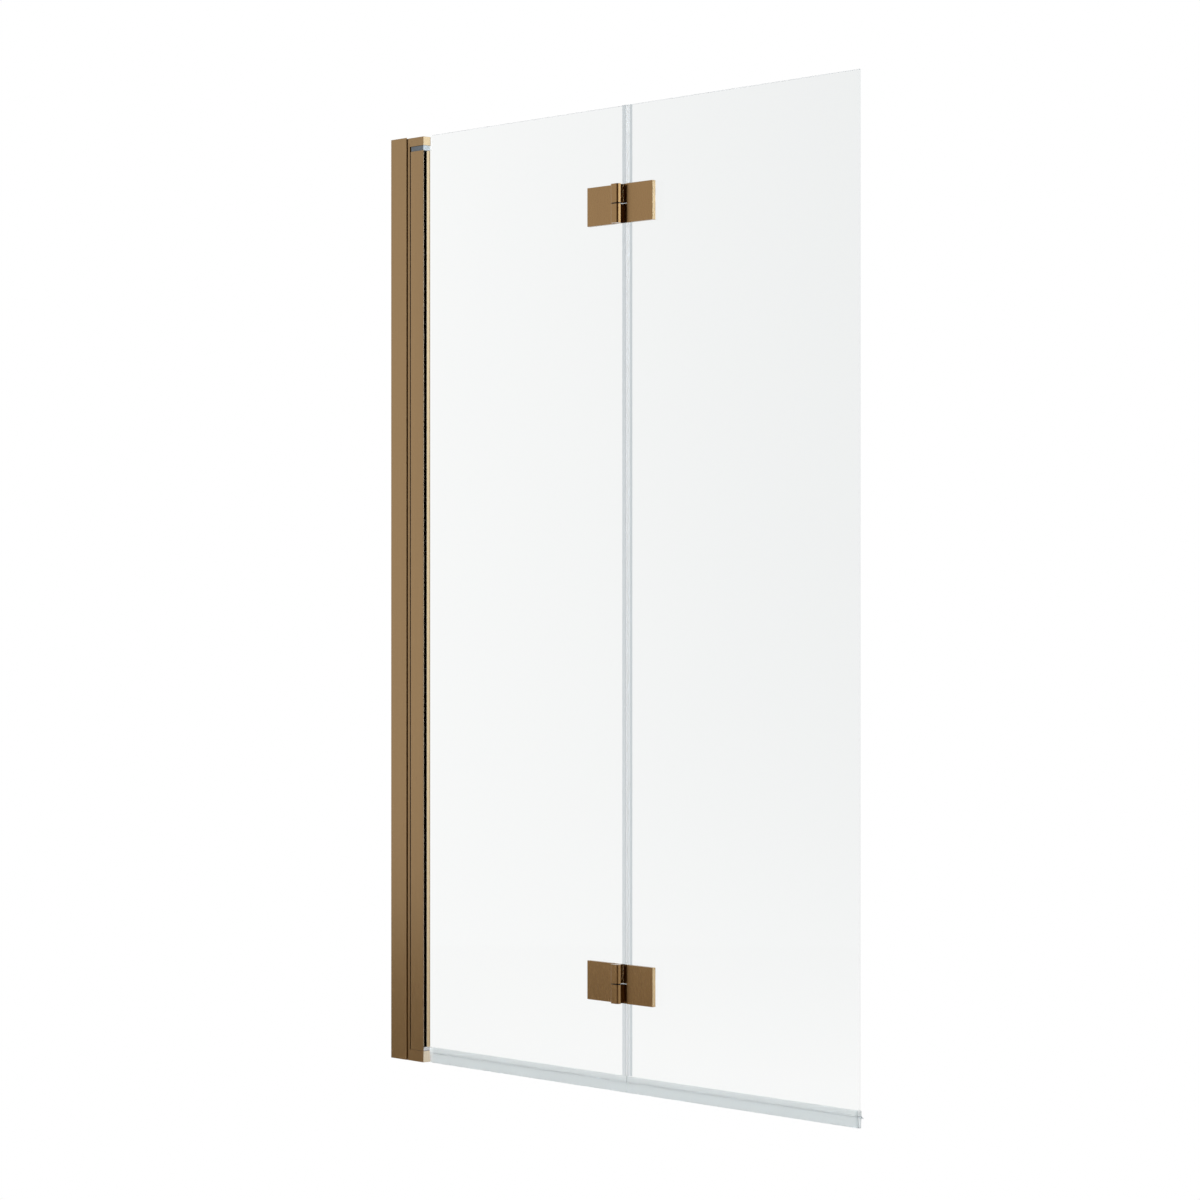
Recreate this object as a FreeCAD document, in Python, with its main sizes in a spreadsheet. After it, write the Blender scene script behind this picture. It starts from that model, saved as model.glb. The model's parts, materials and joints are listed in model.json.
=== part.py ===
"""Two-panel folding bath screen: wall frame, pivoting inner pane, folding outer pane.

Frame: origin in the middle of the wall face, +X along the screen to its free edge,
-Y the room side that carries the hinges, +Y the bath side, +Z up. Lengths in millimetres.
"""
import FreeCAD, Part
import math
import os
import re
import Sketcher

SIZES = {
    # whole screen
    "screen_height": 1400.0,
    "screen_width": 1000.0,
    "frame_depth": 17.0,
    "overrun": 2.0,
    # channel on the wall
    "channel_width": 37.6,
    "channel_web": 2.0,
    "channel_skin": 1.5,
    "channel_edge_radius": 0.5,
    "wall_hole_radius": 2.75,
    "wall_hole_inset": 100.0,
    # profile that slides in the channel to take up a wall out of plumb
    "slide_clearance": 0.25,
    "slide_start": 13.0,
    "slide_skin": 1.6,
    "head_start": 42.0,
    "head_width": 1.5,
    "head_lip_reach": 2.4,
    "head_lip_thickness": 0.8,
    "head_edge_radius": 0.3,
    "clamp_screw_radius": 1.9,
    "clamp_screw_head_radius": 4.0,
    "clamp_screw_head_height": 2.0,
    "clamp_screw_length": 8.0,
    "clamp_socket_radius": 1.5,
    "clamp_socket_depth": 1.2,
    "clamp_screw_inset": 200.0,
    "clamp_screw_place": 27.0,
    # end caps and their screws
    "top_cap_drop": 1.6,
    "top_slab": 8.0,
    "top_boss": 5.0,
    "boss_gap": 0.3,
    "bottom_slab": 17.0,
    "cap_corner_radius": 0.4,
    "cap_edge_radius": 0.3,
    "cap_screw_radius": 2.0,
    "cap_screw_head_radius": 3.6,
    "cap_screw_head_height": 2.4,
    "cap_screw_bite": 14.0,
    "cap_socket_radius": 1.5,
    "cap_socket_depth": 1.6,
    "cap_screw_place": 20.5,
    "cap_screw_spacing": 14.0,
    "screw_clearance": 0.1,
    # pivot at the wall
    "pivot_gap": 1.6,
    "pivot_width": 33.7,
    "pivot_corner_radius": 4.5,
    "pivot_edge_radius": 0.4,
    "pivot_axis_inset": 12.2,
    "pivot_skin": 1.5,
    "pivot_apron": 0.85,
    "pivot_pin_radius": 4.0,
    "pin_cap_length": 9.0,
    "pin_bush_length": 24.0,
    "pin_bevel": 0.5,
    "pin_clearance": 0.05,
    "axial_clearance": 0.3,
    "top_flange": 7.5,
    "bottom_flange": 5.5,
    "flange_inset": 1.0,
    "bush_shank": 28.0,
    "bush_clearance": 0.15,
    "glass_lip": 1.2,
    "gasket_thickness": 1.6,
    "gasket_inset": 0.4,
    "tape_thickness": 0.5,
    "slot_depth": 14.0,
    "slot_floor": 1.0,
    # panes
    "glass_thickness": 5.0,
    "glass_top_drop": 1.2,
    "glass_bottom_rise": 16.6,
    "notch_clearance": 13.6,
    "notch_step": 1.0,
    "fold_place": 540.0,
    "fold_gap": 4.0,
    "glass_arris": 0.5,
    # fold hinges
    "upper_hinge_inset": 140.8,
    "lower_hinge_inset": 155.4,
    "leaf_width": 54.4,
    "leaf_height": 55.4,
    "leaf_thickness": 6.0,
    "leaf_edge_radius": 0.5,
    "pad_thickness": 0.8,
    "pad_inset": 0.6,
    "fold_axis_inset": 6.8,
    "fold_axis_reach": 12.5,
    "leaf_axis_gap": 15.2,
    "knuckle_reach": 5.0,
    "knuckle_face_half": 6.9,
    "knuckle_half": 9.3,
    "knuckle_side_set": 0.3,
    "knuckle_edge_radius": 3.6,
    "knuckle_gap": 1.0,
    "arm_lift": 1.4,
    "arm_overlap": 1.0,
    "arm_recess": 2.2,
    "neck_half": 4.0,
    "neck_set": 5.0,
    "lip_gap": 1.7,
    "hinge_pin_radius": 2.5,
    "hinge_pin_cover": 3.0,
    "washer_radius": 4.6,
    "washer_clearance": 0.1,
    "bolt_spacing": 30.0,
    "bolt_radius": 3.0,
    "bolt_bite": 4.5,
    "bolt_head_radius": 7.0,
    "bolt_cone_depth": 2.8,
    "bolt_socket_radius": 2.4,
    "bolt_socket_depth": 2.2,
    "sleeve_wall": 1.5,
    "sleeve_clearance": 0.15,
    # seals
    "seal_skin": 0.8,
    "seal_clearance": 0.1,
    "bottom_seal_grip": 7.4,
    "bottom_seal_skirt": 15.4,
    "bottom_seal_fin": 4.0,
    "bottom_seal_fin_drop": 3.0,
    "seal_end_gap": 0.6,
    "inner_fold_grip": 7.5,
    "outer_fold_grip": 4.0,
    "fold_seal_bulb": 1.2,
}

TOLERANCE = 1e-6
WALL_HOLE_COUNT = 4
CLAMP_SCREW_COUNT = 3
HEXAGON_SHARES = [(math.cos(math.radians(turn)), math.sin(math.radians(turn))) for turn in range(0, 360, 60)]

# Places worked out from the sizes, written as expressions of the sheet's names.
TOP = "(screen_height / 2)"
BOTTOM = "(-screen_height / 2)"
FRONT = "(-frame_depth / 2)"
BACK = "(frame_depth / 2)"
INNER_FRONT = f"({FRONT} + channel_skin + slide_clearance)"
INNER_BACK = f"({BACK} - channel_skin - slide_clearance)"
HEAD_END = "(head_start + head_width)"
HEAD_LIP_END = f"({HEAD_END} + head_lip_reach)"
CAP_TOP = f"({TOP} - top_cap_drop)"
CAP_TOP_SLAB = f"({CAP_TOP} - top_slab)"
CAP_TOP_FACE = f"({CAP_TOP_SLAB} - top_boss)"
CAP_BOTTOM_FACE = f"({BOTTOM} + bottom_slab)"
PIVOT_START = f"({HEAD_END} + pivot_gap)"
PIVOT_END = f"({PIVOT_START} + pivot_width)"
PIVOT_AXIS = f"({PIVOT_START} + pivot_axis_inset)"
PIVOT_TOP = f"({CAP_TOP_FACE} - axial_clearance - top_flange)"
PIVOT_FOOT = f"({CAP_BOTTOM_FACE} + axial_clearance)"
PIVOT_BOTTOM = f"({PIVOT_FOOT} + bottom_flange)"
GLASS_FRONT = f"({FRONT} + glass_lip + gasket_thickness)"
GLASS_BACK = f"({GLASS_FRONT} + glass_thickness)"
SLOT_BACK = f"({GLASS_BACK} + tape_thickness)"
SLOT_START = f"({PIVOT_END} - slot_depth)"
CHAMBER_END = f"({SLOT_START} - pivot_skin)"
GLASS_TOP = f"({TOP} - glass_top_drop)"
GLASS_BOTTOM = f"({BOTTOM} + glass_bottom_rise)"
NOTCH_EDGE = f"({PIVOT_END} + notch_clearance)"
INNER_GLASS_END = "(fold_place - fold_gap / 2)"
OUTER_GLASS_START = "(fold_place + fold_gap / 2)"
FOLD_X = f"({INNER_GLASS_END} - fold_axis_inset)"
FOLD_Y = f"({GLASS_FRONT} - fold_axis_reach)"
PAD_FRONT = f"({GLASS_FRONT} - pad_thickness)"
LEAF_FRONT = f"({PAD_FRONT} - leaf_thickness)"
INNER_LEAF_END = f"({FOLD_X} - leaf_axis_gap)"
INNER_LEAF_START = f"({INNER_LEAF_END} - leaf_width)"
OUTER_LEAF_START = f"({FOLD_X} + leaf_axis_gap)"
OUTER_LEAF_END = f"({OUTER_LEAF_START} + leaf_width)"
ARM_FRONT = f"({LEAF_FRONT} + arm_recess)"
ARM_BACK = f"({PAD_FRONT} - arm_lift)"
INNER_BOLT_X = f"({INNER_LEAF_START} + leaf_width / 2)"
OUTER_BOLT_X = f"({OUTER_LEAF_END} - leaf_width / 2)"
HINGES = {"upper": f"({TOP} - upper_hinge_inset)", "lower": f"({BOTTOM} + lower_hinge_inset)"}

doc = FreeCAD.newDocument("bath_screen")
sheet = doc.addObject("Spreadsheet::Sheet", "sizes")
for row, (alias, length) in enumerate(SIZES.items(), start=1):
    sheet.set(f"A{row}", alias)
    sheet.set(f"B{row}", str(length))
    sheet.setAlias(f"B{row}", alias)
doc.recompute()

nodes = {}


def bound(formula):
    """Turn a formula of size names into an expression that reads the sheet's cells."""
    return re.sub(r"[a-z_]{3,}", r"sizes.\g<0>", formula)


def number(formula):
    """The present value of a formula, for a sketch's first guess."""
    return float(sheet.evalExpression(formula))


def plane_of(body, role):
    """One of a body's own origin planes."""
    return next(f for f in body.Origin.OriginFeatures if f.Role == role)


def add_node(name, obj):
    """Register an object as one piece of the screen."""
    obj.Label = name
    nodes[name] = obj
    return obj


def new_body(name):
    return doc.addObject("PartDesign::Body", name)


def pin_point(sketch, geometry, position, x, y):
    """Hold a sketch point at the formulas x, y from the sketch's origin."""
    for kind, formula in (("DistanceX", x), ("DistanceY", y)):
        index = sketch.addConstraint(
            Sketcher.Constraint(kind, -1, 1, geometry, position, number(formula)))
        sketch.setExpression(f"Constraints[{index}]", bound(formula))


def draw_polygon(sketch, points):
    """A closed outline through points given as pairs of formulas."""
    corners = [FreeCAD.Vector(number(x), number(y), 0) for x, y in points]
    first = sketch.GeometryCount
    for start, end in zip(corners, corners[1:] + corners[:1]):
        sketch.addGeometry(Part.LineSegment(start, end))
    for index in range(len(points)):
        following = first + (index + 1) % len(points)
        sketch.addConstraint(Sketcher.Constraint("Coincident", first + index, 2, following, 1))
    for index, (x, y) in enumerate(points):
        pin_point(sketch, first + index, 1, x, y)


def draw_circle(sketch, x, y, radius):
    """A circle whose centre and radius are formulas."""
    centre = FreeCAD.Vector(number(x), number(y), 0)
    index = sketch.addGeometry(Part.Circle(centre, FreeCAD.Vector(0, 0, 1), number(radius)))
    pin_point(sketch, index, 3, x, y)
    constraint = sketch.addConstraint(Sketcher.Constraint("Radius", index, number(radius)))
    sketch.setExpression(f"Constraints[{constraint}]", bound(radius))


def draw(body, role, loops, offset):
    """A sketch on an origin plane, moved along the plane's normal by a formula."""
    sketch = body.newObject("Sketcher::SketchObject", f"{body.Name}_sketch")
    sketch.AttachmentSupport = [(plane_of(body, role), "")]
    sketch.MapMode = "FlatFace"
    sketch.setExpression("AttachmentOffset.Base.z", bound(offset))
    for loop in loops:
        if isinstance(loop, tuple):
            draw_circle(sketch, *loop)
        else:
            draw_polygon(sketch, loop)
    return sketch


def pad(body, loops, low, high):
    """Raise plan outlines from height low to height high."""
    feature = body.newObject("PartDesign::Pad", f"{body.Name}_pad")
    feature.Profile = draw(body, "XY_Plane", loops, low)
    feature.setExpression("Length", bound(f"{high} - {low}"))
    return feature


def pocket(body, loops, low, high):
    """Cut plan outlines from height high down to height low."""
    feature = body.newObject("PartDesign::Pocket", f"{body.Name}_pocket")
    feature.Profile = draw(body, "XY_Plane", loops, high)
    feature.setExpression("Length", bound(f"{high} - {low}"))
    return feature


def pad_through(body, loops, front, back):
    """Raise front-view outlines (X, Z) from the back plane forwards to the front plane."""
    feature = body.newObject("PartDesign::Pad", f"{body.Name}_pad")
    feature.Profile = draw(body, "XZ_Plane", loops, f"-({back})")
    feature.setExpression("Length", bound(f"{back} - {front}"))
    return feature


def pocket_through(body, loops, front, back):
    """Cut front-view outlines (X, Z) between the front and back planes."""
    feature = body.newObject("PartDesign::Pocket", f"{body.Name}_pocket")
    feature.Profile = draw(body, "XZ_Plane", loops, f"-({front})")
    feature.setExpression("Length", bound(f"{back} - {front}"))
    return feature


def turn(name, role, profile):
    """A turned piece: half a section (radius, height) spun about the sketch's upright axis."""
    body = new_body(name)
    feature = body.newObject("PartDesign::Revolution", f"{body.Name}_turn")
    sketch = draw(body, role, [profile], "0")
    feature.Profile = sketch
    feature.ReferenceAxis = (sketch, ["V_Axis"])
    return body


def place(obj, x, y, z):
    """Move an object to a place given by formulas."""
    for letter, formula in zip("xyz", (x, y, z)):
        obj.setExpression(f"Placement.Base.{letter}", bound(formula))
    return obj


def group(name, pieces):
    """One node that holds several separate like pieces."""
    compound = doc.addObject("Part::Compound", name)
    compound.Links = pieces
    return add_node(name, compound)


def box_loop(x_low, x_high, y_low, y_high):
    return [(x_low, y_low), (x_high, y_low), (x_high, y_high), (x_low, y_high)]


def hexagon(radius):
    """Outline of a hexagon socket about the sketch's origin."""
    return [(f"({x_share:.6f} * {radius})", f"({y_share:.6f} * {radius})")
            for x_share, y_share in HEXAGON_SHARES]


def soften(body, radius, wanted, kind="Fillet"):
    """Round or bevel the edges of a body's last feature that the wanted test picks."""
    doc.recompute()
    base = body.Tip
    names = [f"Edge{i}" for i, edge in enumerate(base.Shape.Edges, start=1) if wanted(edge)]
    feature = body.newObject(f"PartDesign::{kind}", f"{body.Name}_{kind.lower()}")
    feature.Base = (base, names)
    feature.setExpression("Radius" if kind == "Fillet" else "Size", bound(radius))
    return feature


def run_of(edge):
    """Unit direction of a straight edge, or a null vector for a curve."""
    if edge.Degenerated or not isinstance(edge.Curve, Part.Line):
        return FreeCAD.Vector()
    return edge.Curve.Direction


def upright(edge):
    """True for a straight edge along Z."""
    return run_of(edge).cross(FreeCAD.Vector(0, 0, 1)).Length < TOLERANCE < run_of(edge).Length


def at_x(edge, formula):
    """True where an edge's middle lies at the X given by a formula."""
    return abs(edge.CenterOfMass.x - number(formula)) < TOLERANCE


def at_y(edge, formula):
    """True where an edge's middle lies at the Y given by a formula."""
    return abs(edge.CenterOfMass.y - number(formula)) < TOLERANCE


def on_faces(edge):
    """True where an edge's middle lies on the frame's front or back plane."""
    return at_y(edge, FRONT) or at_y(edge, BACK)


def pad_along(body, loops, start, end):
    """Carry end-view outlines (Y, Z) along X from start to end."""
    feature = body.newObject("PartDesign::Pad", f"{body.Name}_pad")
    feature.Profile = draw(body, "YZ_Plane", loops, start)
    feature.setExpression("Length", bound(f"{end} - {start}"))
    return feature


def pocket_along(body, loops, start, end):
    """Cut end-view outlines (Y, Z) back along X from end to start."""
    feature = body.newObject("PartDesign::Pocket", f"{body.Name}_pocket")
    feature.Profile = draw(body, "YZ_Plane", loops, end)
    feature.setExpression("Length", bound(f"{end} - {start}"))
    return feature


def spread(count, inset):
    """Formulas of evenly spaced heights, the first and last at an inset from the screen's ends."""
    shares = [2 * index / (count - 1) - 1 for index in range(count)]
    return [f"({share} * (screen_height / 2 - {inset}))" for share in shares]


# Wall frame: the fixed pieces.

CLAMP_HEIGHTS = spread(CLAMP_SCREW_COUNT, "clamp_screw_inset")
CAP_SCREW_PLACES = ["cap_screw_place", "(cap_screw_place + cap_screw_spacing)"]


def make_wall_profile():
    """Open channel that is screwed to the wall."""
    body = add_node("wall_profile", new_body("wall_profile"))
    inner_front, inner_back = f"({FRONT} + channel_skin)", f"({BACK} - channel_skin)"
    pad(body, [[("0", FRONT), ("channel_width", FRONT), ("channel_width", inner_front),
                ("channel_web", inner_front), ("channel_web", inner_back),
                ("channel_width", inner_back), ("channel_width", BACK), ("0", BACK)]], BOTTOM, TOP)
    soften(body, "channel_edge_radius",
           lambda edge: upright(edge) and on_faces(edge) and at_x(edge, "channel_width"))
    heights = spread(WALL_HOLE_COUNT, "wall_hole_inset")
    pocket_along(body, [("0", height, "wall_hole_radius") for height in heights],
                 "-overrun", "(channel_web + overrun)")
    screw_holes = [("clamp_screw_place", height, "(clamp_screw_radius + screw_clearance)")
                   for height in CLAMP_HEIGHTS]
    pocket_through(body, screw_holes, f"({inner_back} - overrun)", f"({BACK} + overrun)")


def make_slide_profile():
    """Hollow profile that slides in the channel; lips on its head close the gap to the pivot."""
    body = add_node("slide_profile", new_body("slide_profile"))
    lip_front, lip_back = f"({FRONT} + head_lip_thickness)", f"({BACK} - head_lip_thickness)"
    outline = [("slide_start", INNER_FRONT), ("head_start", INNER_FRONT), ("head_start", FRONT),
               (HEAD_LIP_END, FRONT), (HEAD_LIP_END, lip_front), (HEAD_END, lip_front),
               (HEAD_END, lip_back), (HEAD_LIP_END, lip_back), (HEAD_LIP_END, BACK),
               ("head_start", BACK), ("head_start", INNER_BACK), ("slide_start", INNER_BACK)]
    port = "(cap_screw_radius + slide_skin)"
    first, second = CAP_SCREW_PLACES
    rooms = [("(slide_start + slide_skin)", f"({first} - {port})"),
             (f"({first} + {port})", f"({second} - {port})"),
             (f"({second} + {port})", "(head_start - slide_skin / 2)")]
    low, high = f"({INNER_FRONT} + slide_skin)", f"({INNER_BACK} - slide_skin)"
    pad(body, [outline] + [box_loop(start, end, low, high) for start, end in rooms],
        CAP_BOTTOM_FACE, CAP_TOP_SLAB)
    soften(body, "head_edge_radius", lambda edge: upright(edge) and on_faces(edge))
    ports = [(x, "0", "(cap_screw_radius + screw_clearance)") for x in CAP_SCREW_PLACES]
    bite = "(cap_screw_bite + overrun)"
    pocket(body, ports, f"({CAP_TOP_SLAB} - {bite})", f"({CAP_TOP_SLAB} + overrun)")
    pocket(body, ports, f"({CAP_BOTTOM_FACE} - overrun)", f"({CAP_BOTTOM_FACE} + {bite})")
    screw_holes = [("clamp_screw_place", height, "(clamp_screw_radius + screw_clearance)")
                   for height in CLAMP_HEIGHTS]
    pocket_through(body, screw_holes, f"({INNER_BACK} - slide_skin - overrun)",
                   f"({INNER_BACK} + overrun)")


def make_clamp_screws():
    """Pan-head screws that clamp the sliding profile in the channel, from the bath side."""
    pieces = []
    for index, height in enumerate(CLAMP_HEIGHTS):
        screw = turn(f"clamp_screw_{index}", "XY_Plane", [
            ("0", "-clamp_screw_length"), ("clamp_screw_radius", "-clamp_screw_length"),
            ("clamp_screw_radius", "0"), ("clamp_screw_head_radius", "0"),
            ("clamp_screw_head_radius", "(clamp_screw_head_height / 2)"),
            ("(clamp_screw_head_radius - clamp_screw_head_height / 2)", "clamp_screw_head_height"),
            ("0", "clamp_screw_head_height")])
        pocket_through(screw, [hexagon("clamp_socket_radius")],
                       "(clamp_screw_head_height - clamp_socket_depth)",
                       "(clamp_screw_head_height + overrun)")
        pieces.append(place(screw, "clamp_screw_place", BACK, height))
    group("clamp_screws", pieces)


def make_cap(name, low, high, outside, pin_low, pin_high, head_low, head_high, boss=None):
    """End cap: a tongue over the sliding profile and a block over the pivot; outside is its open face."""
    body = add_node(name, new_body(name))
    pad(body, [[("slide_start", INNER_FRONT), ("head_start", INNER_FRONT), ("head_start", FRONT),
                (PIVOT_END, FRONT), (PIVOT_END, BACK), ("head_start", BACK),
                ("head_start", INNER_BACK), ("slide_start", INNER_BACK)]], low, high)
    if boss:
        pad(body, [box_loop(f"({HEAD_LIP_END} + boss_gap)", PIVOT_END, FRONT, BACK)], *boss)
    pocket(body, [(PIVOT_AXIS, "0", "(pivot_pin_radius + pin_clearance)")], pin_low, pin_high)
    holes = [(x, "0", "(cap_screw_radius + screw_clearance)") for x in CAP_SCREW_PLACES]
    pocket(body, holes, f"({low} - overrun)", f"({high} + overrun)")
    seats = [(x, "0", "(cap_screw_head_radius + screw_clearance)") for x in CAP_SCREW_PLACES]
    pocket(body, seats, head_low, head_high)
    soften(body, "cap_corner_radius",
           lambda edge: upright(edge) and at_x(edge, PIVOT_END) and at_y(edge, FRONT))
    soften(body, "pivot_corner_radius",
           lambda edge: upright(edge) and at_x(edge, PIVOT_END) and at_y(edge, BACK))
    soften(body, "cap_edge_radius", lambda edge: (
        abs(edge.CenterOfMass.z - number(outside)) < TOLERANCE and run_of(edge).Length > TOLERANCE
        and (on_faces(edge) or at_x(edge, PIVOT_END))))


def make_cap_screws(name, face, inwards):
    """Cap screws; inwards is the sign of the way their points look along Z."""
    pieces = []
    for index, x in enumerate(CAP_SCREW_PLACES):
        reach = "(top_slab + cap_screw_bite)" if inwards < 0 else "(bottom_slab + cap_screw_bite)"
        tip, neck = f"({inwards} * {reach})", f"({inwards} * cap_screw_head_height)"
        screw = turn(f"{name}_{index}", "XZ_Plane", [
            ("0", "0"), ("cap_screw_head_radius", "0"), ("cap_screw_head_radius", neck),
            ("cap_screw_radius", neck), ("cap_screw_radius", tip), ("0", tip)])
        socket = ["(-cap_socket_depth)", "overrun"] if inwards < 0 else ["(-overrun)", "cap_socket_depth"]
        pocket(screw, [hexagon("cap_socket_radius")], *socket)
        pieces.append(place(screw, x, "0", face))
    group(name, pieces)


def make_pivot_pin(name, low, high):
    """Plain steel pin held in a cap."""
    body = add_node(name, new_body(name))
    pad(body, [(PIVOT_AXIS, "0", "pivot_pin_radius")], low, high)
    soften(body, "pin_bevel", lambda edge: isinstance(edge.Curve, Part.Circle), "Chamfer")


# Inner panel: what turns about the wall pivot.

def make_pivot_profile():
    """Extrusion with a pin chamber, a glazing slot, a hollow back and an apron before the lower bush."""
    body = add_node("pivot_profile", new_body("pivot_profile"))
    lip_back = f"({FRONT} + glass_lip)"
    outline = [(PIVOT_START, FRONT), (PIVOT_END, FRONT), (PIVOT_END, lip_back),
               (SLOT_START, lip_back), (SLOT_START, SLOT_BACK), (PIVOT_END, SLOT_BACK),
               (PIVOT_END, BACK), (PIVOT_START, BACK)]
    chamber = box_loop(f"({PIVOT_START} + pivot_skin)", CHAMBER_END,
                       f"({FRONT} + pivot_skin)", f"({BACK} - pivot_skin)")
    hollow = box_loop(SLOT_START, f"({PIVOT_END} - pivot_skin)",
                      f"({SLOT_BACK} + pivot_skin)", f"({BACK} - pivot_skin)")
    pad(body, [outline, chamber, hollow], PIVOT_FOOT, PIVOT_TOP)
    soften(body, "pivot_edge_radius",
           lambda edge: upright(edge) and at_x(edge, PIVOT_END) and at_y(edge, FRONT))
    soften(body, "pivot_corner_radius", lambda edge: upright(edge) and (
        at_x(edge, PIVOT_START) or at_x(edge, PIVOT_END) and at_y(edge, BACK)))
    soften(body, "(pivot_corner_radius - pivot_skin)", lambda edge: upright(edge) and (
        at_x(edge, f"{PIVOT_START} + pivot_skin")
        or at_x(edge, f"{PIVOT_END} - pivot_skin") and at_y(edge, f"{BACK} - pivot_skin")))
    behind = box_loop(f"({PIVOT_START} - overrun)", f"({PIVOT_END} + overrun)",
                      f"({FRONT} + pivot_apron)", f"({BACK} + overrun)")
    pocket(body, [behind], f"({PIVOT_FOOT} - overrun)", PIVOT_BOTTOM)


def make_bush(name, face, flange_end, shank_end, bore_end):
    """Plastic end bush: a flange under the cap and a shank in the pin chamber."""
    body = add_node(name, new_body(name))
    flange = box_loop(f"({PIVOT_START} + flange_inset)", f"({PIVOT_END} - flange_inset)",
                      f"({FRONT} + flange_inset)", f"({BACK} - flange_inset)")
    room = "(pivot_skin + bush_clearance)"
    shank = box_loop(f"({PIVOT_START} + {room})", f"({CHAMBER_END} - bush_clearance)",
                     f"({FRONT} + {room})", f"({BACK} - {room})")
    upwards = number(flange_end) > number(face)
    pad(body, [flange], *((face, flange_end) if upwards else (flange_end, face)))
    pad(body, [shank], *((shank_end, face) if upwards else (face, shank_end)))
    bore = [(PIVOT_AXIS, "0", "(pivot_pin_radius + pin_clearance)")]
    pocket(body, bore, *((bore_end, flange_end) if upwards else (flange_end, bore_end)))
    soften(body, "(pivot_corner_radius - flange_inset)", lambda edge: upright(edge) and (
        at_x(edge, f"{PIVOT_START} + flange_inset")
        or at_x(edge, f"{PIVOT_END} - flange_inset") and at_y(edge, f"{BACK} - flange_inset")))
    soften(body, "(pivot_corner_radius - pivot_skin)",
           lambda edge: upright(edge) and at_x(edge, f"{PIVOT_START} + {room}"))


def make_glazing(name, front, back):
    """Strip between the pane and a wall of the glazing slot."""
    body = add_node(name, new_body(name))
    pad(body, [box_loop(f"({SLOT_START} + slot_floor)", f"({PIVOT_END} - gasket_inset)", front, back)],
        PIVOT_BOTTOM, PIVOT_TOP)


def bolt_heights(middle):
    return [f"({middle} - bolt_spacing / 2)", f"({middle} + bolt_spacing / 2)"]


def glass_hole(name):
    """Cutter for a countersunk hole, its mouth on the bath side."""
    straight = "(bolt_radius + sleeve_wall + sleeve_clearance)"
    mouth = "(bolt_head_radius + sleeve_wall + sleeve_clearance)"
    return turn(name, "XY_Plane", [
        ("0", "-overrun"), (straight, "-overrun"), (straight, "(glass_thickness - bolt_cone_depth)"),
        (mouth, "glass_thickness"), (mouth, "(glass_thickness + overrun)"),
        ("0", "(glass_thickness + overrun)")])


def make_pane(name, outline, bolt_x):
    """Toughened pane with bevelled edges and countersunk hinge holes."""
    blank = new_body(f"{name}_blank")
    pad_through(blank, [outline], GLASS_FRONT, GLASS_BACK)
    soften(blank, "glass_arris", lambda edge: abs(run_of(edge).y) < TOLERANCE, "Chamfer")
    cutters = []
    for hinge, middle in HINGES.items():
        for index, height in enumerate(bolt_heights(middle)):
            cutter = glass_hole(f"{name}_{hinge}_hole_{index}")
            cutters.append(place(cutter, bolt_x, GLASS_FRONT, height))
    holes = doc.addObject("Part::Compound", f"{name}_holes")
    holes.Links = cutters
    pane = doc.addObject("Part::Cut", name)
    pane.Base, pane.Tool = blank, holes
    add_node(name, pane)


def make_inner_glass():
    """Pane with its wall corners notched round the caps."""
    edge = f"({SLOT_START} + slot_floor)"
    step_low, step_high = f"({PIVOT_BOTTOM} + notch_step)", f"({PIVOT_TOP} - notch_step)"
    make_pane("inner_glass", [
        (edge, step_low), (NOTCH_EDGE, step_low), (NOTCH_EDGE, GLASS_BOTTOM),
        (INNER_GLASS_END, GLASS_BOTTOM), (INNER_GLASS_END, GLASS_TOP), (NOTCH_EDGE, GLASS_TOP),
        (NOTCH_EDGE, step_high), (edge, step_high)], INNER_BOLT_X)


def make_outer_glass():
    make_pane("outer_glass", box_loop(OUTER_GLASS_START, "screen_width", GLASS_BOTTOM, GLASS_TOP),
              OUTER_BOLT_X)


# Fold hinges: two leaves with half-height knuckles on one pin.

def knuckle_outline():
    """Plan of a knuckle: a flat face with bevelled sides, and a neck back to its arm."""
    face, side = f"({FOLD_Y} - knuckle_reach)", f"({FOLD_Y} - knuckle_side_set)"
    neck, root = f"({FOLD_Y} + neck_set)", f"({ARM_FRONT} + arm_overlap)"
    right = [("knuckle_face_half", face), ("knuckle_half", side), ("neck_half", neck), ("neck_half", root)]
    return ([(f"({FOLD_X} + {reach})", y) for reach, y in right]
            + [(f"({FOLD_X} - {reach})", y) for reach, y in reversed(right)])


def make_leaf(name, middle, plate, arm, lip, knuckle, beside, bolt_x):
    """Cast leaf: a square plate, an arm with its half of the knuckle, a lip beside the other half."""
    body = add_node(name, new_body(name))
    bottom, top = f"({middle} - leaf_height / 2)", f"({middle} + leaf_height / 2)"
    pad_through(body, [box_loop(*plate, bottom, top)], LEAF_FRONT, PAD_FRONT)
    soften(body, "leaf_edge_radius", lambda edge: edge.CenterOfMass.y < number(PAD_FRONT) - TOLERANCE)
    pad(body, [box_loop(*arm, ARM_FRONT, ARM_BACK)], *knuckle)
    pad(body, [box_loop(*lip, ARM_FRONT, ARM_BACK)], *beside)
    pad(body, [knuckle_outline()], *knuckle)
    soften(body, "knuckle_edge_radius",
           lambda edge: upright(edge) and at_y(edge, f"{FOLD_Y} - knuckle_reach"))
    bore_low = f"({middle} - leaf_height / 2 + hinge_pin_cover - screw_clearance)"
    bore_high = f"({middle} + leaf_height / 2 - hinge_pin_cover + screw_clearance)"
    pocket(body, [(FOLD_X, FOLD_Y, "(hinge_pin_radius + pin_clearance)")], bore_low, bore_high)
    holes = [(bolt_x, height, "(bolt_radius + screw_clearance)") for height in bolt_heights(middle)]
    pocket_through(body, holes, f"({PAD_FRONT} - bolt_bite - screw_clearance)", PAD_FRONT)


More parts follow.
